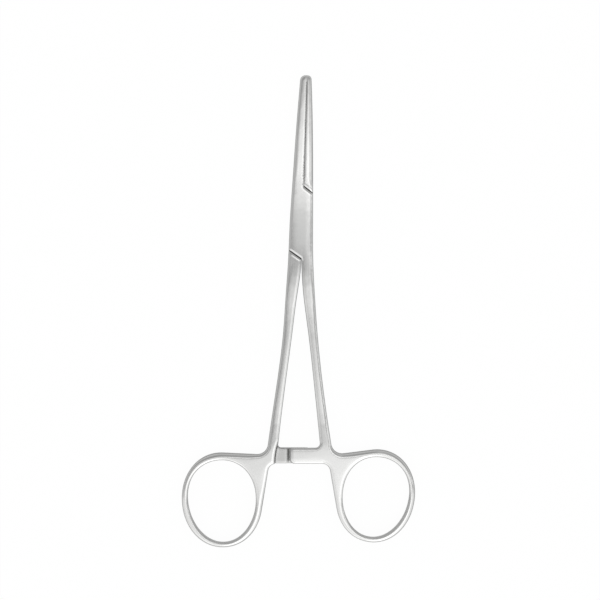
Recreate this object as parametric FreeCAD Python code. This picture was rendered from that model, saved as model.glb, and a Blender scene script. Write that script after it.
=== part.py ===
import FreeCAD, Part
import math
import os

V = FreeCAD.Vector

# A straight box-lock hemostat, closed, lying on its back. Millimetres.
# The origin is on the pivot's axis at the back face. +Y points to the tips,
# +Z out of the front face, and +X to the right for someone who looks at the front.
# One half carries the box of the lock, the left jaw and the right shank. The other
# half carries the tongue that turns in the box, the right jaw and the left shank.

# Heights along the instrument, counted from the pivot: up to the tips, down to the ratchet
tip_up = 43.45
jaw_middle_up = 26.0
lock_up = 10.4
lock_down = 11.2
crotch_down = 15.0
shank_top_down = 22.0
bend_down = 33.0
shank_middle_down = 48.0
ratchet_down = 67.2

# Heights counted down from the top of the ratchet arms
neck_below = 2.1
left_ring_below = 15.9
right_ring_below = 14.7

# Width over both halves at those heights
tip_width = 3.2
jaw_middle_width = 5.08
lock_top_width = 6.22
lock_width = 6.89
lock_bottom_width = 7.42
shank_top_width = 8.68
bend_width = 10.2
shank_middle_width = 13.6
neck_width = 19.8

# Open gap between the two shanks
crotch_gap = 0.36
shank_top_gap = 1.9
bend_gap = 4.7
shank_middle_gap = 8.4
ratchet_gap = 12.6

# How far the middle of that width stands beside the pivot, + to the right
tip_lean = 1.25
jaw_middle_lean = 0.75
lock_top_lean = 0.24
pivot_lean = -0.11
lock_bottom_lean = -0.33
shank_lean = -0.45
shank_middle_lean = -0.61
neck_lean = -0.6
crotch_lean = -0.2
ratchet_lean = -0.8

# Thickness, front to back
tip_thickness = 2.0
lock_thickness = 3.6
shank_thickness = 3.0
ring_thickness = 3.4
lock_flat = 13.0
ring_ease_length = 12.3

# Seams between the halves, which show as thin dark lines
seam_gap = 0.06
seam_lock_x = 0.56
seam_tip_x = 1.57
seam_bottom_x = -0.1
shoulder_right_up = 8.2
shoulder_left_down = 8.5
shoulder_corner_round = 0.5
seam_bevel = 0.22
shoulder_bevel = 0.34
shoulder_overrun = 1.2

# Lock
tongue_thickness = 1.3
tongue_face_gap = 0.04
slot_open_side = 2.7
slot_side_gap = 0.15
pin_diameter = 2.4
pin_running_gap = 0.04

# Jaw serrations, straight across the gripping faces
serration_pitch = 0.8
serration_depth = 0.2
serration_start = 1.5
serration_end = 1.2

# Finger rings
left_hole_width = 20.2
left_hole_height = 24.5
left_ring_out = 23.7
left_ring_lean = 3.9
right_hole_width = 19.7
right_hole_height = 24.0
right_ring_out = 21.9
right_ring_lean = 9.0
ring_fullness = 2.06
ring_hole_taper = 0.08
ring_rim_turn = 1.0
ring_wall_outer = 1.8
ring_wall_inner = 1.85
ring_wall_top = 2.2
ring_wall_bottom = 1.4
ring_curve_points = 24

# Ratchet and the web round it
ratchet_height = 4.7
arm_overlap = 5.2
arm_gap = 0.1
arm_corner_cut = 0.8
tooth_pitch = 1.5
tooth_depth = 0.55
tooth_count = 4
tooth_start = 0.35
tooth_back = 0.12
underside_width = 17.7
web_round = 3.2
underside_round = 2.4
left_gap_round = 0.8
right_gap_round = 1.3
step_from_gap = 0.9
step_turn = 20.0
step_round = 0.8

# Rounding of the long edges
tip_left_corner = 1.55
tip_right_corner = 1.2
tip_round = 0.8
jaw_round = 1.35
outer_round = 0.75
web_edge_round = 1.15
hole_round = 0.4
inner_round = 0.4

middle = lock_thickness / 2
neck_down = ratchet_down + neck_below
left_ring_down = ratchet_down + left_ring_below
right_ring_down = ratchet_down + right_ring_below
ring_ease_down = neck_down - ring_ease_length
arm_floor_down = ratchet_down + ratchet_height
LEFT = -1
RIGHT = 1


def spline(points):
    curve = Part.BSplineCurve()
    curve.interpolate(points)
    return curve


def line(a, b):
    return Part.LineSegment(a, b).toShape()


def polyline(points):
    return [line(a, b) for a, b in zip(points, points[1:])]


def prism(edges, low, high):
    """Solid between two heights over a closed outline of edges, given in order."""
    face = Part.Face(Part.Wire(edges))
    face.translate(V(0, 0, low))
    return face.extrude(V(0, 0, high - low))


def between(a, b, share):
    return a + (b - a) * share


def outer_curve(side):
    """Outer edge of the closed instrument on one side, from the tip down to the web."""
    stations = [
        (tip_up, tip_lean, tip_width),
        (jaw_middle_up, jaw_middle_lean, jaw_middle_width),
        (lock_up, lock_top_lean, lock_top_width),
        (0, pivot_lean, lock_width),
        (-lock_down, lock_bottom_lean, lock_bottom_width),
        (-shank_top_down, shank_lean, shank_top_width),
        (-bend_down, shank_lean, bend_width),
        (-shank_middle_down, shank_middle_lean, shank_middle_width),
        (-neck_down, neck_lean, neck_width),
    ]
    return spline([V(lean + side * width / 2, y, 0) for y, lean, width in stations])


def inner_curve(side):
    """Inner edge of one shank, from the lock's lower shoulder down to the ratchet."""
    stations = [
        (-lock_down, seam_bottom_x, seam_gap),
        (-crotch_down, crotch_lean, crotch_gap),
        (-shank_top_down, shank_lean, shank_top_gap),
        (-bend_down, shank_lean, bend_gap),
        (-shank_middle_down, shank_middle_lean, shank_middle_gap),
        (-ratchet_down, ratchet_lean, ratchet_gap),
    ]
    return spline([V(lean + side * gap / 2, y, 0) for y, lean, gap in stations])


def at_height(curve, y):
    """Parameter of a curve that runs downwards, where it passes the height y."""
    low, high = curve.FirstParameter, curve.LastParameter
    for _ in range(60):
        mid = (low + high) / 2
        if curve.value(mid).y > y:
            low = mid
        else:
            high = mid
    return (low + high) / 2


def trimmed(curve, top, bottom):
    """Edge of a curve that runs downwards, between two heights."""
    return curve.toShape(at_height(curve, top), at_height(curve, bottom))


def jaw_edge(curve, bottom):
    """Outer edge of a jaw from its tip down, divided at its roundest place and at the top of the lock."""
    heights = (tip_up, jaw_middle_up, lock_up, bottom)
    return [trimmed(curve, high, low) for high, low in zip(heights, heights[1:])]


def oval(side, out, up, half_width, half_height, lean, taper):
    """Closed egg-shaped curve: an ellipse, a little squarer, wider at its top, its top leaning outwards.
    It starts between its top and the side of the web, which covers the rim there."""
    cos_lean, sin_lean = math.cos(math.radians(lean)), math.sin(math.radians(lean))
    start = math.pi * 3 / 4
    points = []
    for i in range(ring_curve_points):
        turn = start + 2 * math.pi * i / ring_curve_points
        across = half_width * fuller(math.cos(turn)) * (1 + taper * math.sin(turn))
        along = half_height * fuller(math.sin(turn))
        x = side * (out + across * cos_lean + along * sin_lean)
        y = up - across * sin_lean + along * cos_lean
        points.append(V(x, y, 0))
    curve = Part.BSplineCurve()
    curve.interpolate(Points=points, PeriodicFlag=True)
    return curve


def fuller(value):
    return math.copysign(abs(value) ** (2 / ring_fullness), value)


def touch(curve, corner, first, last):
    """Parameter where a straight line from the corner touches the curve, between two shares of its turn."""
    span = curve.LastParameter - curve.FirstParameter

    def turn(share):
        point, slope = curve.getD1(curve.FirstParameter + share * span)
        return (point.x - corner.x) * slope.y - (point.y - corner.y) * slope.x

    start = turn(first)
    for _ in range(60):
        mid = (first + last) / 2
        if turn(mid) * start > 0:
            first = mid
        else:
            last = mid
    return curve.FirstParameter + (first + last) / 2 * span


def round_upright_edge(solid, corner, radius):
    """Round the upright edge that stands over one corner of the outline."""
    for edge in solid.Edges:
        low, high = edge.BoundBox.ZMin, edge.BoundBox.ZMax
        aside = edge.CenterOfMass - corner
        if high - low > tip_thickness / 2 and math.hypot(aside.x, aside.y) < seam_gap / 2:
            return solid.makeFillet(radius, [edge])
    raise ValueError("no upright edge at this corner")


def tangent_arc(level, end):
    """Arc that leaves its first point level and runs to its second, in the plane of the side view."""
    run, rise = end.y - level.y, end.z - level.z
    radius = (run ** 2 + rise ** 2) / (2 * abs(rise))
    half_turn = math.atan(abs(rise / run))
    along = math.copysign(radius * math.sin(half_turn), run)
    away = math.copysign(radius * (1 - math.cos(half_turn)), rise)
    return Part.Arc(level, level + V(0, along, away), end).toShape()


def ease(start, end):
    """Two equal arcs that lead smoothly from one level to another."""
    halfway = (start + end) / 2
    return [tangent_arc(start, halfway), tangent_arc(end, halfway)]


def jaw_profile():
    """Arc of the jaws' front face seen from the side, from the flat of the lock to just past the tips."""
    far_up = tip_up + tip_width
    drop = (lock_thickness - tip_thickness) / 2 * ((far_up - lock_flat) / (tip_up - lock_flat)) ** 2
    top = V(0, lock_flat, lock_thickness / 2)
    return tangent_arc(top, top + V(0, far_up - lock_flat, -drop))


def side_form():
    """The whole instrument seen from its side, as a wide block: full at the lock, thinner at the tips."""
    reach = left_ring_out + left_hole_width
    far_down = -(left_ring_down + left_hole_height)
    jaw = jaw_profile()
    top, tip = jaw.Vertexes[0].Point, jaw.Vertexes[-1].Point
    bottom = V(0, -lock_flat, lock_thickness / 2)
    shank_top = V(0, -bend_down, shank_thickness / 2)
    shank_end = V(0, -ring_ease_down, shank_thickness / 2)
    ring_top = V(0, -neck_down, ring_thickness / 2)
    ring_end = V(0, far_down, ring_thickness / 2)
    front = [jaw, line(top, bottom)]
    front += ease(bottom, shank_top) + [line(shank_top, shank_end)]
    front += ease(shank_end, ring_top) + [line(ring_top, ring_end)]
    back = [edge.mirror(V(0, 0, 0), V(0, 0, 1)) for edge in front]
    ends = [line(point, V(0, point.y, -point.z)) for point in (tip, ring_end)]
    outline = Part.Wire(Part.__sortEdges__(front + back + ends))
    block = Part.Face(outline).extrude(V(2 * reach, 0, 0))
    block.translate(V(-reach, 0, middle))
    return block


def seam_x(y):
    """Place of the jaws' seam across the instrument."""
    return between(seam_lock_x, seam_tip_x, (y - lock_up) / (tip_up - lock_up))


def gripping_edge(side):
    """Toothed edge of one jaw, from the lock to the tip, half a seam gap beside the seam's middle."""
    aside = side * seam_gap / 2
    low = lock_up + serration_start
    count = int((tip_up - serration_end - low) / serration_pitch)
    points = [V(seam_x(lock_up) + aside, lock_up, 0), V(seam_x(low) + aside, low, 0)]
    for i in range(count):
        y = low + i * serration_pitch
        for share, swing in ((0.25, 0.5), (0.75, -0.5)):
            place = y + share * serration_pitch
            points.append(V(seam_x(place) + aside + swing * serration_depth, place, 0))
    end = low + count * serration_pitch
    points += [V(seam_x(end) + aside, end, 0), V(seam_x(tip_up) + aside, tip_up, 0)]
    return points


def shoulder_shift(run, rise):
    """How far apart in height two slanted shoulders stand, a seam gap from each other."""
    return seam_gap * math.hypot(run, rise) / abs(run)


def ring_curves(side):
    """Rim and hole of one finger ring, the walls between them thicker at the top than at the bottom."""
    if side == LEFT:
        out, down, lean = left_ring_out, left_ring_down, left_ring_lean
        width, height = left_hole_width, left_hole_height
    else:
        out, down, lean = right_ring_out, right_ring_down, right_ring_lean
        width, height = right_hole_width, right_hole_height
    hole = oval(side, out, -down, width / 2, height / 2, lean, ring_hole_taper)
    rim = oval(
        side,
        out + (ring_wall_outer - ring_wall_inner) / 2,
        -down + (ring_wall_top - ring_wall_bottom) / 2,
        (width + ring_wall_outer + ring_wall_inner) / 2,
        (height + ring_wall_top + ring_wall_bottom) / 2,
        lean + ring_rim_turn,
        0,
    )
    return rim, hole


# Parts of a rim's turn, from its start: down its inner side, and from its top back to the start
lower_inner_part = (0.02, 0.32)
upper_inner_part = (0.75, 0.98)


def handle_outline(side, inner, outer):
    """Edges from the lower end of a shank's inner edge round the ratchet arm, the ring and the web,
    up to the lower end of the shank's outer edge, and the three corners to round."""
    rim = ring_curves(side)[0]
    gap_corner = inner.value(inner.LastParameter)
    web_corner = outer.value(outer.LastParameter)
    floor = -arm_floor_down
    tip_x = ratchet_lean - side * arm_overlap / 2
    under_corner = V(ratchet_lean + side * underside_width / 2, floor, 0)
    under_touch = touch(rim, under_corner, *lower_inner_part)
    web_touch = touch(rim, web_corner, *upper_inner_part)
    arm = polyline([
        gap_corner,
        V(tip_x, -ratchet_down, 0),
        V(tip_x, floor + arm_corner_cut, 0),
        V(tip_x + side * arm_corner_cut, floor, 0),
        under_corner,
        rim.value(under_touch),
    ])
    edges = arm + [rim.toShape(under_touch, web_touch), line(rim.value(web_touch), web_corner)]
    return edges, gap_corner, under_corner, web_corner


def finish_handle(solid, side, corners):
    """Round the upright corners of a handle and cut its finger hole."""
    gap_corner, under_corner, web_corner = corners
    solid = round_upright_edge(solid, gap_corner, left_gap_round if side == LEFT else right_gap_round)
    solid = round_upright_edge(solid, under_corner, underside_round)
    solid = round_upright_edge(solid, web_corner, web_round)
    hole = Part.Wire([ring_curves(side)[1].toShape()])
    return solid.cut(Part.Face(hole).extrude(V(0, 0, lock_thickness)))


def is_outline_edge(solid, edge):
    """True where an upright wall meets the front or the back."""
    point = edge.valueAt((edge.FirstParameter + edge.LastParameter) / 2)
    slopes = []
    for face in solid.ancestorsOfType(edge, Part.Face):
        slopes.append(abs(face.normalAt(*face.Surface.parameter(point)).z))
    return len(slopes) == 2 and min(slopes) < 0.1 and max(slopes) > 0.9


def is_seam_edge(edge):
    """True on the slanted shoulders of the lock and on the jaws' gripping faces, which stay sharp."""
    point = edge.CenterOfMass
    on_shoulder = -lock_down < point.y < lock_up and abs(point.x) < lock_width / 2 - outer_round
    beside_grip = abs(point.x - seam_x(point.y)) < serration_depth + seam_gap
    return on_shoulder or (beside_grip and lock_up <= point.y < tip_up - seam_gap)


def outer_radius(y):
    """Rounding of the outer edge at a height: half-round jaws, flatter lock and shank, full round web."""
    steps = [
        (tip_up, tip_round),
        (jaw_middle_up, jaw_round),
        (lock_up, outer_round),
        (-ring_ease_down, outer_round),
        (-neck_down, web_edge_round),
        (-neck_down - web_edge_round, web_edge_round),
        (-arm_floor_down, outer_round),
    ]
    for (top, top_round), (bottom, bottom_round) in zip(steps, steps[1:]):
        if y > bottom:
            return between(top_round, bottom_round, max(0, (top - y) / (top - bottom)))
    return outer_round


def radius_at(side, point):
    """Rounding of the outline at a point: small on the inner edges, the ratchet arm and the finger hole."""
    inner, outer, hole = inner_curve(side), outer_curve(side), ring_curves(side)[1]
    flat_point = V(point.x, point.y, 0)
    if hole.value(hole.parameter(flat_point)).distanceToPoint(flat_point) < seam_gap:
        return hole_round
    if point.y > inner.value(inner.LastParameter).y + seam_gap:
        inner_x = inner.value(at_height(inner, point.y)).x
        outer_x = outer.value(at_height(outer, point.y)).x
        is_inner = point.y < -lock_down + seam_gap and abs(point.x - inner_x) < abs(point.x - outer_x)
    else:
        across = side * (point.x - ratchet_lean)
        over_arm = point.y > -arm_floor_down - 1.5 * underside_round
        is_inner = across < (underside_width + underside_round) / 2 and over_arm
    return inner_round if is_inner else outer_radius(point.y)


def rounded(solid, side):
    """Round the front and back edges of the outline, each with the radii that belong to its two ends."""
    rows = []
    for number, edge in enumerate(solid.Edges, 1):
        if is_outline_edge(solid, edge) and not is_seam_edge(edge):
            start, end = edge.firstVertex(True).Point, edge.lastVertex(True).Point
            rows.append((number, radius_at(side, end), radius_at(side, start)))
    return filleted(solid, rows)


def filleted(solid, rows):
    """Fillet with a radius at each end of each edge. A row is the edge's number and its two radii."""
    document = FreeCAD.newDocument()
    base = document.addObject("Part::Feature", "base")
    base.Shape = solid
    fillet = document.addObject("Part::Fillet", "fillet")
    fillet.Base = base
    fillet.Edges = rows
    document.recompute()
    result = fillet.Shape.copy()
    FreeCAD.closeDocument(document.Name)
    return result


def upper_shoulder():
    """Ends of the slanted edge between the box and the right jaw: on the seam, on the outer edge."""
    right = outer_curve(RIGHT)
    return V(seam_x(lock_up), lock_up, 0), right.value(at_height(right, shoulder_right_up))


def lower_shoulder():
    """Ends of the slanted edge between the box and the left shank: on the seam, on the outer edge."""
    left, inner = outer_curve(LEFT), inner_curve(RIGHT)
    return inner.value(inner.FirstParameter), left.value(at_height(left, -shoulder_left_down))


def lock_strip(clearance):
    """Plan of the slanted strip in which the tongue lies, from the upper right to the lower left."""
    left, right = outer_curve(LEFT), outer_curve(RIGHT)
    upper, lower = upper_shoulder()[0], lower_shoulder()[0]
    left_end = left.value(at_height(left, slot_open_side))
    right_end = right.value(at_height(right, -slot_open_side))
    reach = lock_up + lock_down
    corners = []
    for point, other in ((upper, left_end), (left_end, upper), (lower, right_end), (right_end, lower)):
        outward = (point - other).normalize()
        aside = V(outward.y, -outward.x, 0) * (clearance if point in (upper, lower) else -clearance)
        corners.append(point + outward * reach + aside)
    return polyline(corners + corners[:1])


def box_half():
    """Left jaw, box, right shank, front ratchet arm and right ring."""
    left, right, inner = outer_curve(LEFT), outer_curve(RIGHT), inner_curve(RIGHT)
    grip = gripping_edge(LEFT)
    tip_corner = left.value(left.FirstParameter)
    lower_end = lower_shoulder()[1]
    upper_end = upper_shoulder()[1]
    handle, *corners = handle_outline(RIGHT, inner, right)
    edges = [line(grip[-1], tip_corner)] + jaw_edge(left, -shoulder_left_down)
    edges += [line(lower_end, inner.value(inner.FirstParameter)), inner.toShape()]
    edges += handle + [trimmed(right, shoulder_right_up, -neck_down)]
    edges += [line(upper_end, grip[0])] + polyline(grip)
    solid = prism(edges, 0, lock_thickness)
    solid = round_upright_edge(solid, tip_corner, tip_left_corner)
    solid = round_upright_edge(solid, grip[0], shoulder_corner_round)
    solid = finish_handle(solid, RIGHT, corners)
    solid = rounded(solid.common(side_form()).Solids[0], RIGHT)
    room = tongue_thickness / 2 + tongue_face_gap
    solid = solid.cut(prism(lock_strip(0), middle - room, middle + room))
    solid = solid.cut(Part.makeCylinder(pin_diameter / 2, lock_thickness))
    return solid.cut(arm_step(RIGHT)).cut(arm_teeth(RIGHT)).cut(seam_grooves())


def tongue_half():
    """Right jaw, tongue, left shank, rear ratchet arm and left ring."""
    left, right, inner = outer_curve(LEFT), outer_curve(RIGHT), inner_curve(LEFT)
    jaw = right_jaw(right)
    shank = left_shank(left, inner)
    top, bottom = lock_flat, -lock_flat
    plan = [trimmed(left, top, bottom), trimmed(right, top, bottom)]
    for height in (top, bottom):
        plan.append(line(left.value(at_height(left, height)), right.value(at_height(right, height))))
    plan = Part.__sortEdges__(plan)
    low, high = middle - tongue_thickness / 2, middle + tongue_thickness / 2
    tongue = prism(plan, low, high).common(prism(lock_strip(slot_side_gap), low, high))
    solid = jaw.fuse([tongue, shank]).Solids[0]
    solid = solid.cut(Part.makeCylinder(pin_diameter / 2 + pin_running_gap, lock_thickness))
    return solid.cut(arm_step(LEFT)).cut(arm_teeth(LEFT)).cut(seam_grooves())


def right_jaw(right):
    """Right jaw down to its slanted shoulder on the box."""
    corner, outer_end = upper_shoulder()
    clear = shoulder_shift(outer_end.x - corner.x, outer_end.y - corner.y)
    grip = gripping_edge(RIGHT)
    grip[0] = grip[0] + V(0, clear, 0)
    tip_corner = right.value(right.FirstParameter)
    outer_end = right.value(at_height(right, shoulder_right_up + clear))
    edges = polyline(grip) + [line(grip[-1], tip_corner)]
    edges += jaw_edge(right, shoulder_right_up + clear) + [line(outer_end, grip[0])]
    solid = prism(edges, 0, lock_thickness)
    solid = round_upright_edge(solid, tip_corner, tip_right_corner)
    solid = round_upright_edge(solid, grip[0], shoulder_corner_round)
    return rounded(solid.common(side_form()).Solids[0], RIGHT)


def left_shank(left, inner):
    """Left shank from its slanted shoulder under the box down to the ring."""
    corner, outer_end = lower_shoulder()
    clear = shoulder_shift(outer_end.x - corner.x, outer_end.y - corner.y)
    top_inner, top_outer = -lock_down - clear, -shoulder_left_down - clear
    handle, *corners = handle_outline(LEFT, inner, left)
    outer_top, inner_top = left.value(at_height(left, top_outer)), inner.value(at_height(inner, top_inner))
    edges = [trimmed(inner, top_inner, -ratchet_down)] + handle
    edges += [trimmed(left, top_outer, -neck_down), line(outer_top, inner_top)]
    solid = finish_handle(prism(edges, 0, lock_thickness), LEFT, corners)
    return rounded(solid.common(side_form()).Solids[0], LEFT)


def arm_step(side):
    """What is cut away to the middle of the thickness, behind the front arm or in front of the rear arm:
    an upright disc with a flared rim, which leaves a curved step with a rounded top beside the shank."""
    axis = V(ratchet_lean + side * (ratchet_gap / 2 + step_from_gap - step_turn), -arm_floor_down, middle)

    def at(aside, above):
        return axis + V(aside, 0, -side * above)

    low, high, lip = -arm_gap / 2, lock_thickness / 2, step_turn + step_round
    aslant = step_round * math.cos(math.pi / 4)
    bend = at(step_turn, high - step_round)
    flare = Part.Arc(bend, at(lip - aslant, high - step_round + aslant), at(lip, high)).toShape()
    inside = [at(lip, high), at(lip, 2 * high), at(0, 2 * high), at(0, low), at(step_turn, low), bend]
    return Part.Face(Part.Wire(polyline(inside) + [flare])).revolve(axis, V(0, 0, 1), 360)


def arm_teeth(side):
    """Saw teeth of one ratchet arm, as what is cut away between them and above them."""
    tip_x = ratchet_lean - side * arm_overlap / 2
    crest = middle + side * arm_gap / 2
    root = crest + side * tooth_depth
    outside = middle - side * lock_thickness
    profile = [V(tip_x - side * tooth_pitch, 0, outside), V(tip_x - side * tooth_pitch, 0, crest)]
    for i in range(tooth_count):
        start = tip_x + side * (tooth_start + i * tooth_pitch)
        profile += [V(start, 0, crest), V(start + side * tooth_back * tooth_pitch, 0, root)]
    end = tip_x + side * (tooth_start + tooth_count * tooth_pitch)
    profile += [V(end, 0, crest), V(end, 0, outside)]
    face = Part.Face(Part.Wire(polyline(profile + profile[:1])))
    face.translate(V(0, -arm_floor_down - right_gap_round, 0))
    return face.extrude(V(0, ratchet_height + 2 * right_gap_round, 0))


def groove(path, across, half_width):
    """Solid that cuts a V of 45 degrees along a path on the front face, and stands proud of the face."""
    start = path[0].Vertexes[0].Point
    wide = across.normalize() * 2 * half_width
    up = V(0, 0, half_width)
    profile = Part.Wire(polyline([start - up, start + wide + up, start - wide + up, start - up]))
    return Part.Wire(path).makePipeShell([profile], True, True)


def jaw_groove():
    """V groove along the seam between the closed jaws, which follows their taper to the tips."""
    jaw = jaw_profile()
    jaw.translate(V(0, 0, middle))
    start = V(0, lock_up, lock_thickness)
    solid = groove([line(start, jaw.Vertexes[0].Point), jaw], V(1, 0, 0), seam_bevel)
    lean = math.degrees(math.atan2(seam_tip_x - seam_lock_x, tip_up - lock_up))
    solid.rotate(start, V(0, 0, -1), lean)
    solid.translate(V(seam_x(lock_up), 0, 0))
    return solid


def shoulder_groove(corner, end):
    """V groove along one slanted shoulder of the lock, out past the side of the box."""
    front = V(0, 0, lock_thickness)
    along = end - corner
    path = line(corner + front, corner + along * shoulder_overrun + front)
    return groove([path], V(along.y, -along.x, 0), shoulder_bevel)


def seam_grooves():
    """Fine V grooves on both faces, where the polished edges of the two halves meet."""
    front = [shoulder_groove(*upper_shoulder()), shoulder_groove(*lower_shoulder()), jaw_groove()]
    back = [solid.mirror(V(0, 0, middle), V(0, 0, 1)) for solid in front]
    return Part.makeCompound(front + back)


def pivot_pin():
    """Rivet through both cheeks and the tongue, ground flush with both faces."""
    return Part.makeCylinder(pin_diameter / 2, lock_thickness)


def main():
    os.makedirs("parts", exist_ok=True)
    box_half().exportStep("parts/box_half.step")
    tongue_half().exportStep("parts/tongue_half.step")
    pivot_pin().exportStep("parts/pivot_pin.step")


main()
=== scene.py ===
# %% [markdown]
# # A box-lock hemostat on white
#
# The object is a surgical clamp of stainless steel: two forged halves that cross in a box lock, with
# toothed jaws, slender shanks, a ratchet and two finger rings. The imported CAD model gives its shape, its
# place and its two moving bodies, and this script gives it its look. Everything is in metres: the
# instrument lies on its back on the plane z = 0, +Y points to the jaw tips, and the origin is on the
# axis of the lock.

# %% Load the fixed frame
import math

import bmesh
import bpy
import numpy as np
from mathutils import Matrix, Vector
from mathutils.bvhtree import BVHTree


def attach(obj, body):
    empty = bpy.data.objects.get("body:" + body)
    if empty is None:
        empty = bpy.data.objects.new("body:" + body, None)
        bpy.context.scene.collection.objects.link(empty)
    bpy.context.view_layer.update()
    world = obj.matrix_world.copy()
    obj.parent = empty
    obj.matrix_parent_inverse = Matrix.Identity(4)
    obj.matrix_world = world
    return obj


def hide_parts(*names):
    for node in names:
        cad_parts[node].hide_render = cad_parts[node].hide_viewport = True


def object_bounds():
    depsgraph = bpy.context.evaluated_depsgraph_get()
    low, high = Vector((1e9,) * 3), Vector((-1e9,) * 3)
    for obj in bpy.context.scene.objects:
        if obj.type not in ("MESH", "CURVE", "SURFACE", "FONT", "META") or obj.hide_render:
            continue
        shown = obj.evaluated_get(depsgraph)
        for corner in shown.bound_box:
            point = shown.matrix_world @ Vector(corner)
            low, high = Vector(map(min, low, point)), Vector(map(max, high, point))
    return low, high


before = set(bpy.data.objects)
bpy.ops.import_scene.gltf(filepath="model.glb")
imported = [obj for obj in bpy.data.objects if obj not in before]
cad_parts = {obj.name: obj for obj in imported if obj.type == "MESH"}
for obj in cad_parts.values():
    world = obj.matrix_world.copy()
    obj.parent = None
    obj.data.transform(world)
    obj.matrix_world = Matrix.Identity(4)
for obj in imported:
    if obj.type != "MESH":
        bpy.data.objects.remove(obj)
cad_low, cad_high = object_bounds()
MM = 0.001
print("CAD box in mm", [round(v / MM, 2) for v in (*cad_low, *cad_high)])

# %% [markdown]
# ## The camera
#
# The photo shows the instrument from straight above, 471 of its 600 pixels long. So the camera looks
# straight down, and its place follows from the pixel on which the lock's axis falls. The lens follows
# from the height and from the width that the picture covers. Both rings show a little of their inner
# walls on the side away from the middle, which a camera at about 60 cm sees.

# %% Camera
PICTURE_PIXELS = 600
PIXEL = 0.2973 * MM
LOCK_AXIS_PIXEL = (301.8, 221.5)
CAMERA_HEIGHT = 0.6
FARTHEST_SEEN = 50

camera = bpy.data.objects.new("camera", bpy.data.cameras.new("camera"))
bpy.context.scene.collection.objects.link(camera)
bpy.context.scene.camera = camera
aim_x = (PICTURE_PIXELS / 2 - LOCK_AXIS_PIXEL[0]) * PIXEL
aim_y = (LOCK_AXIS_PIXEL[1] - PICTURE_PIXELS / 2) * PIXEL
camera.location = (aim_x, aim_y, cad_high.z / 2 + CAMERA_HEIGHT)
camera.data.lens = camera.data.sensor_width * CAMERA_HEIGHT / (PICTURE_PIXELS * PIXEL)
camera.data.clip_end = FARTHEST_SEEN
print("lens in mm", round(camera.data.lens, 1))

# %% [markdown]
# ## Colours and nodes
#
# Colours are written as sRGB hex values, as a picture editor shows them. Blender's nodes work with
# linear light, so one function turns a hex value to linear. A second one adds a node, gives it its
# settings and fills its inputs, so that each material below reads as a short list. A third gives a
# colour ramp its stops, and a fourth, for numpy, is a ramp from 0 to 1.


# %% Four helpers
def linear(hex_colour):
    """sRGB hex to linear RGBA: c / 12.92 below 0.04045, else ((c + 0.055) / 1.055) to the power 2.4."""
    srgb = np.array([int(hex_colour[i:i + 2], 16) for i in (1, 3, 5)]) / 255
    light = np.where(srgb <= 0.04045, srgb / 12.92, ((srgb + 0.055) / 1.055) ** 2.4)
    return (*light.tolist(), 1.0)


def add_node(tree, kind, links=None, **settings):
    """Add one node. Links maps an input's name or number to a socket, which is linked, or to a value."""
    node = tree.nodes.new(kind)
    for key, value in settings.items():
        setattr(node, key, value)
    for key, value in (links or {}).items():
        if isinstance(value, bpy.types.NodeSocket):
            tree.links.new(value, node.inputs[key])
        else:
            node.inputs[key].default_value = value
    return node


def set_stops(ramp, stops):
    """Give a colour ramp its grey stops, as pairs of place and value. Places run from -0.5 to 0.5."""
    while len(ramp.elements) < len(stops):
        ramp.elements.new(1.0)
    for element, (place, value) in zip(ramp.elements, stops):
        element.position = place + 0.5
        element.color = (value, value, value, 1)


def fade(values, start, width):
    """(values - start) / width, held between 0 and 1."""
    return np.clip((values - start) / width, 0, 1)


print("mid grey in linear light", round(linear("#808080")[0], 3))

# %% [markdown]
# ## The steel
#
# The real instrument is forged from hardenable stainless steel, ground, tumbled and then polished by
# hand to a satin finish. To the eye it is a light neutral grey metal whose reflections are soft but
# still clear. The wheel reaches the front, the back and the rounded edges. The narrow sides, the inside
# of the lock and the thin ratchet arms are only tumbled, so they are rougher. Their colour is made darker
# too, which is partly that duller finish and partly painted shade: the darker sides draw the thin grey
# line that the photo shows round every form, and the lock and ratchet look shaded.
#
# Each half carries two attributes of its own, made further down: "polish_and_edge_shade" is 1 where the
# wheel reaches and 0 where it doesn't, and where it is low the colour is darkened as painted shade;
# "middleness" is 1 along the middle of each form and falls to its edges.
# Lines of equal middleness run along the shanks and round the rings, as the wheel's fine marks do. The
# real marks are about 0.05 mm wide, too fine for the picture, so they are drawn about 0.3 mm wide.

# %% Satin-polished stainless steel
MARKS_PER_MIDDLENESS = 22
MARK_LENGTH = 9 * MM
MARK_HEIGHT = 0.0015 * MM
WAVE_LENGTH = 2.5 * MM
WAVE_HEIGHT = 0.003 * MM
BLOTCH_LENGTH = 7 * MM
POLISHED_ROUGHNESS = (0.1, 0.14)
TUMBLED_ROUGHNESS = 0.42

steel = bpy.data.materials.new("satin-polished stainless steel")
steel.use_nodes = True
tree = steel.node_tree
tree.nodes.clear()
place = add_node(tree, "ShaderNodeTexCoord").outputs["Object"]
along = add_node(tree, "ShaderNodeSeparateXYZ", {0: place}).outputs["Y"]
polish_and_edge_shade = add_node(tree, "ShaderNodeAttribute", attribute_name="polish_and_edge_shade").outputs["Fac"]
middle = add_node(tree, "ShaderNodeAttribute", attribute_name="middleness").outputs["Fac"]

across = add_node(tree, "ShaderNodeCombineXYZ", {"X": middle, "Y": along})
mark_place = add_node(tree, "ShaderNodeVectorMath", {
    0: across.outputs[0], 1: (MARKS_PER_MIDDLENESS, 1 / MARK_LENGTH, 0)}, operation="MULTIPLY")
marks = add_node(tree, "ShaderNodeTexNoise", {"Vector": mark_place.outputs[0], "Scale": 1.0, "Detail": 2.0})
waves = add_node(tree, "ShaderNodeTexNoise", {"Vector": place, "Scale": 1 / WAVE_LENGTH, "Detail": 1.0})
blotches = add_node(tree, "ShaderNodeTexNoise", {"Vector": place, "Scale": 1 / BLOTCH_LENGTH, "Detail": 3.0})

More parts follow.
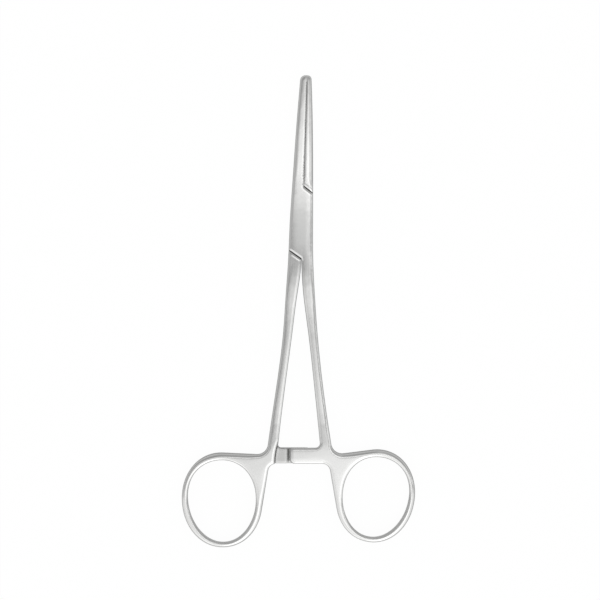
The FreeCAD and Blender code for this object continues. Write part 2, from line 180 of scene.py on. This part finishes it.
polished_colour = add_node(tree, "ShaderNodeMix", {
    0: blotches.outputs[0], 6: linear("#cacac9"), 7: linear("#d4d4d3")}, data_type="RGBA")
# Towards #999998 where the share is low: partly the duller tumbled finish, partly painted shade on the steep
# sides and in the lock and ratchet.
colour = add_node(tree, "ShaderNodeMix", {
    0: polish_and_edge_shade, 6: linear("#999998"), 7: polished_colour.outputs[2]}, data_type="RGBA")
polished_roughness = add_node(tree, "ShaderNodeMapRange", {
    "Value": marks.outputs[0], "From Min": 0.3, "From Max": 0.7,
    "To Min": POLISHED_ROUGHNESS[0], "To Max": POLISHED_ROUGHNESS[1]})
roughness = add_node(tree, "ShaderNodeMix", {
    0: polish_and_edge_shade, 2: TUMBLED_ROUGHNESS, 3: polished_roughness.outputs[0]})
wavy = add_node(tree, "ShaderNodeBump", {"Height": waves.outputs[0], "Distance": WAVE_HEIGHT})
marked = add_node(tree, "ShaderNodeBump", {
    "Height": marks.outputs[0], "Distance": MARK_HEIGHT, "Normal": wavy.outputs[0]})
shader = add_node(tree, "ShaderNodeBsdfPrincipled", {
    "Base Color": colour.outputs[2], "Metallic": 1.0, "Roughness": roughness.outputs[0],
    "Normal": marked.outputs[0]})
add_node(tree, "ShaderNodeOutputMaterial", {"Surface": shader.outputs[0]})
print("steel of", len(tree.nodes), "nodes")

# %% [markdown]
# ## The two halves
#
# The CAD nodes have the right shape, but their faces meet in the sharp, thin lines of a machined part,
# and their long thin triangles show in a polished metal's reflections. The webs between shank and ring
# are free blends that no function of two parameters gives, so a new surface isn't worked out for them.
# Instead each half is a copy of its CAD node: the copy gets an even mesh from the voxel remesher, and
# numpy smooths it a little, as the polishing wheel does to a forging. Taubin smoothing moves each corner
# half way to the mean of its neighbours and then back by a little more than that, which takes out small
# steps without shrinking the piece. The normals are then averaged over about a third of a millimetre,
# because a mirror shows steps in the slope that are too low to feel. The steep faces keep their own
# normals, so the jaws' serrations and the ratchet's teeth stay crisp.

# %% Copy CAD nodes as one closed shell
PLUG_RADIUS = 1.5 * MM
PLUG_DEPTH = 0.7 * MM
SAME_PLACE = 0.001 * MM


def merged_copy(name, *nodes):
    """Join copies of CAD nodes in one mesh and merge the corners that their loose triangles share. The
    pin's copy gets a wider plug at each end, which closes the line between pin and cheek."""
    joined = bmesh.new()
    for node in nodes:
        joined.from_mesh(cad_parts[node].data)
    bmesh.ops.remove_doubles(joined, verts=joined.verts, dist=SAME_PLACE)
    if "pivot_pin" in nodes:
        for middle in (PLUG_DEPTH / 2, cad_high.z - PLUG_DEPTH / 2):
            bmesh.ops.create_cone(joined, cap_ends=True, segments=64, radius1=PLUG_RADIUS,
                                  radius2=PLUG_RADIUS, depth=PLUG_DEPTH,
                                  matrix=Matrix.Translation((0, 0, middle)))
    mesh = bpy.data.meshes.new(name)
    joined.to_mesh(mesh)
    joined.free()
    piece = bpy.data.objects.new(name, mesh)
    bpy.context.scene.collection.objects.link(piece)
    return piece


def corner_values(mesh, key):
    """One vector of each corner, "co" or "normal", as an array with a row for each corner."""
    flat = np.empty(len(mesh.vertices) * 3, np.float32)
    mesh.vertices.foreach_get(key, flat)
    return flat.reshape(-1, 3).astype(float)


def even_mesh(piece, voxel):
    """Rebuild a closed shell from even faces as wide as a voxel, and return where its corners are."""
    remesh = piece.modifiers.new("even mesh", "REMESH")
    remesh.mode = "VOXEL"
    remesh.voxel_size = voxel
    graph = bpy.context.evaluated_depsgraph_get()
    mesh = bpy.data.meshes.new_from_object(piece.evaluated_get(graph))
    piece.modifiers.clear()
    piece.data = mesh
    return corner_values(mesh, "co")


def spread(mesh, values, shares):
    """Move each corner's values towards the mean of its neighbours' values, once for each share."""
    edges = np.empty(len(mesh.edges) * 2, np.int32)
    mesh.edges.foreach_get("vertices", edges)
    edges = edges.reshape(-1, 2)
    starts, ends = np.concatenate([edges, edges[:, ::-1]]).T
    count = np.bincount(starts, minlength=len(values))
    for share in shares:
        mean = np.stack([np.bincount(starts, values[ends, k], len(values)) / count for k in range(3)], 1)
        values = values + share * (mean - values)
    return values


# %% [markdown]
# ### The crown
#
# A polishing wheel never leaves a face quite flat. It takes a little more near the edges, so the lock,
# the shanks and the webs are slightly crowned, and this is what makes a gradient of light run over
# them. To know how near an edge each place is, the instrument's plan is drawn on a fine grid, 1 where
# there is metal and 0 elsewhere, and blurred. Divided by its greatest value nearby, the blurred plan is
# 1 along the middle of each form and falls off smoothly to its edges. The crown only lowers the front
# and the back, by up to an eighth of a millimetre, so the pieces stay in the CAD model's box.

# %% Blurred plan
CELL = 0.2 * MM
LEAST_BLUR = 1e-6
LEAST_POWER = 1e-30


def blurred(grid, width):
    """Gaussian blur of a grid, done by multiplying its Fourier transform by exp(-2 (pi width f) squared)."""
    rows, columns = np.fft.fftfreq(grid.shape[0], CELL), np.fft.rfftfreq(grid.shape[1], CELL)
    weight = np.exp(-2 * (math.pi * width) ** 2 * (rows[:, None] ** 2 + columns ** 2))
    return np.fft.irfft2(np.fft.rfft2(grid) * weight, grid.shape)


def middleness(points, width):
    """Plan of the points, blurred and divided by the eighth-power mean of that blur over the metal nearby,
    then read off at each point by bilinear interpolation."""
    corner = points[:, :2].min(0) - 4 * width
    place = (points[:, :2] - corner) / CELL
    plan = np.zeros(np.ceil(place.max(0) + 4 * width / CELL).astype(int))
    plan[tuple(place.astype(int).T)] = 1
    soft = np.clip(blurred(plan, width), LEAST_BLUR, None)
    nearby = blurred(plan * soft ** 8, width) / soft
    share = soft / np.clip(nearby, LEAST_POWER, None) ** (1 / 8)
    cell = np.floor(place - 0.5).astype(int)
    across, along = (place - 0.5 - cell).T
    near = [share[cell[:, 0] + i, cell[:, 1] + j] for i, j in ((0, 0), (1, 0), (0, 1), (1, 1))]
    weights = ((1 - across) * (1 - along), across * (1 - along), (1 - across) * along, across * along)
    return np.clip(sum(w * n for w, n in zip(weights, near)), 0, 1)


# %% Crown, with its depth in mm at places in mm along Y
CROWN_WIDTH = 2.2 * MM
CROWN_BY_Y = [(-18, 0.08), (-9, 0.3), (8, 0.3), (14, 0.05)]
MIDDLE_Z = cad_high.z / 2
INSIDE_MM = 0.7
INSIDE_FADE_MM = 0.6


def crowned(points, share):
    """Lower the front and the back towards their edges, by the crown times one minus the share. The crown
    is deepest over the lock. The step from 0 to 1, 3 t squared minus 2 t cubed, spares the lock's inside."""
    height = points[:, 2] - MIDDLE_Z
    t = fade(np.abs(height) / MM, INSIDE_MM, INSIDE_FADE_MM)
    crown = np.interp(points[:, 1] / MM, *zip(*CROWN_BY_Y)) * MM
    lowered = points.copy()
    lowered[:, 2] -= np.sign(height) * t * t * (3 - 2 * t) * crown * (1 - share)
    return np.clip(lowered, cad_low, cad_high)


# %% [markdown]
# ### The seam of the jaws
#
# The closed jaws meet in a seam finer than a pixel. The CAD edges there are bevelled at 45 degrees, which
# mirrors the dark gap, so the bevels are made shallower. The depth of a place is measured from the
# highest point of the jaws at the same Y, and only what faces the other jaw is raised.

# %% Shallow seam
BEVEL_DEPTH = 0.24 * MM
SHALLOW_DEPTH = 0.08 * MM
RAISED_DOWN_TO = 0.9 * MM
JAWS_FROM = 10 * MM
SLICE = 0.5 * MM
SEAM_FACING, SEAM_FACING_FADE = 0.1, 0.25


def with_shallow_seam(points, normals, seam_side):
    """Raise a depth of 0.24 mm to one of 0.08 mm, and less what lies higher or, down to 0.9 mm, deeper. The
    seam side is 1 for the half whose seam faces +X and -1 for the other."""
    slices = np.floor(points[:, 1] / SLICE).astype(int)
    slices -= slices.min()
    highest = np.zeros(slices.max() + 1)
    np.maximum.at(highest, slices, points[:, 2])
    centres = (np.arange(len(highest)) + 0.5) * SLICE + points[:, 1].min()
    depth = np.interp(points[:, 1], centres, highest) - points[:, 2]
    raised = np.interp(depth, (0, BEVEL_DEPTH, RAISED_DOWN_TO), (0, BEVEL_DEPTH - SHALLOW_DEPTH, 0))
    weight = fade(seam_side * normals[:, 0], SEAM_FACING, SEAM_FACING_FADE) * fade(
        points[:, 1], JAWS_FROM, MM)
    points = points.copy()
    points[:, 2] += weight * raised
    return points


# %% [markdown]
# ### The serrations
#
# The gripping faces carry cross serrations, which the smoothing rounds off, because it was meant for the
# polished outside. So the corners on those faces are put back on the nearest place of the CAD node.

# %% Sharp teeth, on what lies below a height in mm at places in mm along Y
SERRATIONS_FROM = 12 * MM
GRIP_TOP_BY_Y = [(10, 3.0), (43, 2.6)]
GRIP_FACING = 0.3
GRIP_LEVEL = 0.6


def with_sharp_teeth(points, normals, cad_mesh, seam_side):
    """Put the corners that face the other jaw, apart from those on the bevels, on the CAD surface."""
    surface = BVHTree.FromPolygons([corner.co for corner in cad_mesh.vertices],
                                   [face.vertices for face in cad_mesh.polygons])
    top = np.interp(points[:, 1] / MM, *zip(*GRIP_TOP_BY_Y)) * MM
    gripping = (seam_side * normals[:, 0] > GRIP_FACING) & (np.abs(normals[:, 2]) < GRIP_LEVEL)
    gripping &= (points[:, 1] > SERRATIONS_FROM) & (np.abs(points[:, 2] - MIDDLE_Z) < top - MIDDLE_Z)
    points = points.copy()
    for corner in np.flatnonzero(gripping):
        points[corner] = surface.find_nearest(points[corner])[0]
    print(gripping.sum(), "corners put back on the serrations")
    return points


# %% [markdown]
# ### Where the wheel reaches, and the painted shade of the sides
#
# The share of polish follows from which way each place faces: 1 where the surface looks up or down, and
# 0 where it is steeper than about 60 degrees. The inside of the lock and the thin land and teeth of the
# ratchet arms lie in the middle of the thickness, which tells them from the faces outside. A low share
# makes the steel rougher and its colour darker. The darker colour is partly the tumbled finish and partly
# painted shade, which draws the dark line along the sides.

# %% Share of polish and of painted shade, with the places of ratchet and lock in mm
NEAR_MIDDLE_MM = 0.9
RATCHET_X, RATCHET_Y = -0.8, -69.5
RATCHET_HALF_WIDTH, RATCHET_HALF_HEIGHT = 8, 3.5
LOCK_HALF_LENGTH = 13
HIDDEN_POLISH_AND_SHADE = 0.45
POLISH_AND_SHADE_FACING, POLISH_AND_SHADE_FADE = 0.5, 0.3


def polish_and_shade_share(points, normals):
    """1 for what looks up or down and 0 for the steep sides, by the step 3 t squared minus 2 t cubed, and
    duller on the ratchet and in the lock. A low share also makes the colour darker, which is partly the
    duller finish and partly painted shade."""
    x, y, z = points.T / MM
    t = fade(np.abs(normals[:, 2]), POLISH_AND_SHADE_FACING, POLISH_AND_SHADE_FADE)
    facing = t * t * (3 - 2 * t)
    near_middle = np.abs(z - MIDDLE_Z / MM) < NEAR_MIDDLE_MM
    on_ratchet = near_middle & (np.abs(y - RATCHET_Y) < RATCHET_HALF_HEIGHT) & (
        np.abs(x - RATCHET_X) < RATCHET_HALF_WIDTH)
    in_lock = near_middle & (np.abs(y) < LOCK_HALF_LENGTH)
    # The lock and ratchet get a lower share: rougher, and darker as painted shade.
    dull_and_shaded = (np.full(len(x), HIDDEN_POLISH_AND_SHADE), HIDDEN_POLISH_AND_SHADE * facing)
    return np.select((on_ratchet, in_lock), dull_and_shaded, facing)


def store(mesh, name, values):
    """Keep one number for each corner, for the material to read."""
    mesh.attributes.new(name, "FLOAT", "POINT").data.foreach_set("value", values.astype(np.float32))


# %% [markdown]
# ### Normals and assembly
#
# Each half is copied, meshed and smoothed first, because the crown needs the plan of both together. Then
# the serrations, the seam and the crown are made, in this order, and at last the normals, from what the
# mesh has become. The pin has no line of its own on the instrument, so it is part of the box half.

# %% Averaged normals
NORMAL_ROUNDS = 10
LEVEL_FROM, LEVEL_FADE = 0.15, 0.3
LEAST_LENGTH = 0.01


def polished_normals(mesh):
    """Normals averaged over their neighbours, apart from those of steep faces. Where opposite normals
    cancel out, they point up."""
    normals = corner_values(mesh, "normal")
    even = spread(mesh, normals, (0.5,) * NORMAL_ROUNDS)
    normals += fade(np.abs(even[:, 2:]), LEVEL_FROM, LEVEL_FADE) * (even - normals)
    lengths = np.linalg.norm(normals, axis=1, keepdims=True)
    return np.where(lengths > LEAST_LENGTH, normals / np.maximum(lengths, LEAST_LENGTH), (0, 0, 1))


# %% Make the two halves
VOXEL = 0.18 * MM
POLISHING_ROUNDS = 9
THERE_AND_BACK = (0.5, -0.53)
NODES = {"box_half_polished": ("box_half", "pivot_pin"), "tongue_half_polished": ("tongue_half",)}
BODIES = {"box_half_polished": "box_side", "tongue_half_polished": "tongue_side"}
SEAM_SIDES = {"box_half_polished": 1, "tongue_half_polished": -1}

pieces, corners = {}, {}
for name, nodes in NODES.items():
    pieces[name] = merged_copy(name, *nodes)
    raw = even_mesh(pieces[name], VOXEL)
    corners[name] = spread(pieces[name].data, raw, THERE_AND_BACK * POLISHING_ROUNDS)

share = middleness(np.concatenate(list(corners.values())), CROWN_WIDTH)
print("least middleness", round(share.min(), 3))
shares = np.split(share, [len(corners["box_half_polished"])])
for (name, nodes), share in zip(NODES.items(), shares):
    mesh = pieces[name].data
    normals = corner_values(mesh, "normal")
    toothed = with_sharp_teeth(corners[name], normals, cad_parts[nodes[0]].data, SEAM_SIDES[name])
    ground = with_shallow_seam(toothed, normals, SEAM_SIDES[name])
    mesh.vertices.foreach_set("co", crowned(ground, share).astype(np.float32).ravel())
    mesh.polygons.foreach_set("use_smooth", np.ones(len(mesh.polygons), bool))
    mesh.materials.clear()
    mesh.materials.append(steel)
    mesh.update()
    normals = polished_normals(mesh)
    mesh.normals_split_custom_set_from_vertices(normals.tolist())
    # The share sets the roughness and, where it is low, darkens the colour as painted shade.
    polish_and_shade_here = polish_and_shade_share(corners[name], normals)
    store(mesh, "polish_and_edge_shade", polish_and_shade_here)
    store(mesh, "middleness", share)
    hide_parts(*nodes)
    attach(pieces[name], BODIES[name])
    print(name, len(mesh.polygons), "faces, mean polish", round(polish_and_shade_here.mean(), 2))

# %% [markdown]
# ## The floor
#
# The photo's background is plain white. A white floor under plain light renders a little below white,
# so the part of it that is seen, directly or mirrored in the steel, is mixed with plain white. Enough
# of the lit floor is left to keep the instrument's soft shadow.

# %% White paper floor
FLOOR_SIZE = 40
WHITE_SHARE = 0.97

bpy.ops.mesh.primitive_plane_add(size=FLOOR_SIZE)
floor = bpy.context.object
floor.name = "floor"
paper_material = bpy.data.materials.new("white paper")
paper_material.use_nodes = True
tree = paper_material.node_tree
tree.nodes.clear()
paper = add_node(tree, "ShaderNodeBsdfDiffuse", {"Color": linear("#fafafa")})
white = add_node(tree, "ShaderNodeEmission", {"Color": (1, 1, 1, 1), "Strength": 1.0})
rays = add_node(tree, "ShaderNodeLightPath").outputs
seen = rays["Is Camera Ray"]
for kind in ("Is Glossy Ray", "Is Transmission Ray"):
    seen = add_node(tree, "ShaderNodeMath", {0: seen, 1: rays[kind]}, operation="MAXIMUM").outputs[0]
white_share = add_node(tree, "ShaderNodeMath", {0: seen, 1: WHITE_SHARE}, operation="MULTIPLY")
mixed = add_node(tree, "ShaderNodeMixShader", {
    0: white_share.outputs[0], 1: paper.outputs[0], 2: white.outputs[0]})
add_node(tree, "ShaderNodeOutputMaterial", {"Surface": mixed.outputs[0]})
floor.data.materials.append(paper_material)
print("floor in m", [round(v, 1) for v in floor.dimensions])

# %% [markdown]
# ## The light
#
# Polished steel shows its surroundings, so the light is laid out as a photographer's white tent, drawn
# in the world by direction. X and Y of a direction tell where in the tent it points, and a flat face
# mirrors only the small part near the zenith, with -0.13 to 0.11 in Y over the length of the instrument.
# The first ramp goes along the instrument: light from below, a grey gap where the camera looks through,
# which the lock and the top of the shanks mirror, and a dark side above, which draws the dark upper
# edges of rings and webs. The second goes across, from the darker left to the lighter right. A softbox
# above the camera adds the light of the jaws. The ramps' places run from -0.5 to 0.5, so X and Y beyond
# that keep the end values, and the two ramps by height are written for Z less 0.5. They keep the light
# near the horizon between a least and a most, because a tent is plain white low down, and so that seen
# from the side the steel is neither black nor as white as the paper.

# %% The tent
LIGHT_BY_Y = [(-0.5, 1.85), (-0.3, 1.4), (-0.12, 1.5), (-0.095, 1.4), (-0.077, 1.0), (-0.06, 1.12),
              (-0.03, 1.0), (-0.012, 0.85), (0.01, 0.5), (0.024, 0.3), (0.034, 0.5), (0.045, 0.9),
              (0.12, 0.95), (0.25, 0.55), (0.5, 0.5)]
LIGHT_BY_X = [(-0.5, 0.72), (-0.4, 0.74), (-0.28, 0.95), (-0.12, 0.72), (0.0, 1.0), (0.12, 1.4),
              (0.2, 1.22), (0.3, 1.08), (0.4, 0.95), (0.5, 0.82)]
SOFTBOX_BY_Y = [(0.042, 0.0), (0.058, 0.8), (0.08, 0.65), (0.12, 0.35), (0.28, 0.0)]
SOFTBOX_BY_X = [(-0.25, 0.0), (-0.1, 1.0), (0.4, 1.0), (0.5, 0.85)]
LEAST_BY_Z = [(-0.5, 1.0), (-0.41, 1.0), (-0.3, 0.75), (0.0, 0.6), (0.3, 0.48), (0.5, 0.0)]
MOST_BY_Z = [(-0.5, 1.0), (-0.15, 1.05), (0.1, 1.6), (0.3, 2.4)]

world = bpy.data.worlds.new("tent")
bpy.context.scene.world = world
world.use_nodes = True
tree = world.node_tree
tree.nodes.clear()
direction = add_node(tree, "ShaderNodeTexCoord").outputs["Generated"]
parts = add_node(tree, "ShaderNodeSeparateXYZ", {0: direction}).outputs
by_y = add_node(tree, "ShaderNodeMath", {0: parts["Y"], 1: 0.5}, operation="ADD").outputs[0]
by_x = add_node(tree, "ShaderNodeMath", {0: parts["X"], 1: 0.5}, operation="ADD").outputs[0]
by_z = parts["Z"]
values = []
for measure, stops in ((by_y, LIGHT_BY_Y), (by_x, LIGHT_BY_X), (by_y, SOFTBOX_BY_Y),
                       (by_x, SOFTBOX_BY_X), (by_z, LEAST_BY_Z), (by_z, MOST_BY_Z)):
    ramp = add_node(tree, "ShaderNodeValToRGB", {0: measure})
    set_stops(ramp.color_ramp, stops)
    values.append(ramp.outputs[0])
tent = add_node(tree, "ShaderNodeMath", {0: values[0], 1: values[1]}, operation="MULTIPLY")
softbox = add_node(tree, "ShaderNodeMath", {0: values[2], 1: values[3]}, operation="MULTIPLY")
both = add_node(tree, "ShaderNodeMath", {0: tent.outputs[0], 1: softbox.outputs[0]}, operation="ADD")
not_dark = add_node(tree, "ShaderNodeMath", {0: both.outputs[0], 1: values[4]}, operation="MAXIMUM")
light = add_node(tree, "ShaderNodeMath", {0: not_dark.outputs[0], 1: values[5]}, operation="MINIMUM")
background = add_node(tree, "ShaderNodeBackground", {"Color": light.outputs[0], "Strength": 1.0})
add_node(tree, "ShaderNodeOutputWorld", {"Surface": background.outputs[0]})
print("tent of", len(values), "ramps")

# %% [markdown]
# ## Finish
#
# The visual model has to stay within the CAD model's box. The Standard view shows the paper as white as
# it is, where other views would grey it.

# %% Finish
bpy.context.scene.view_settings.view_transform = "Standard"
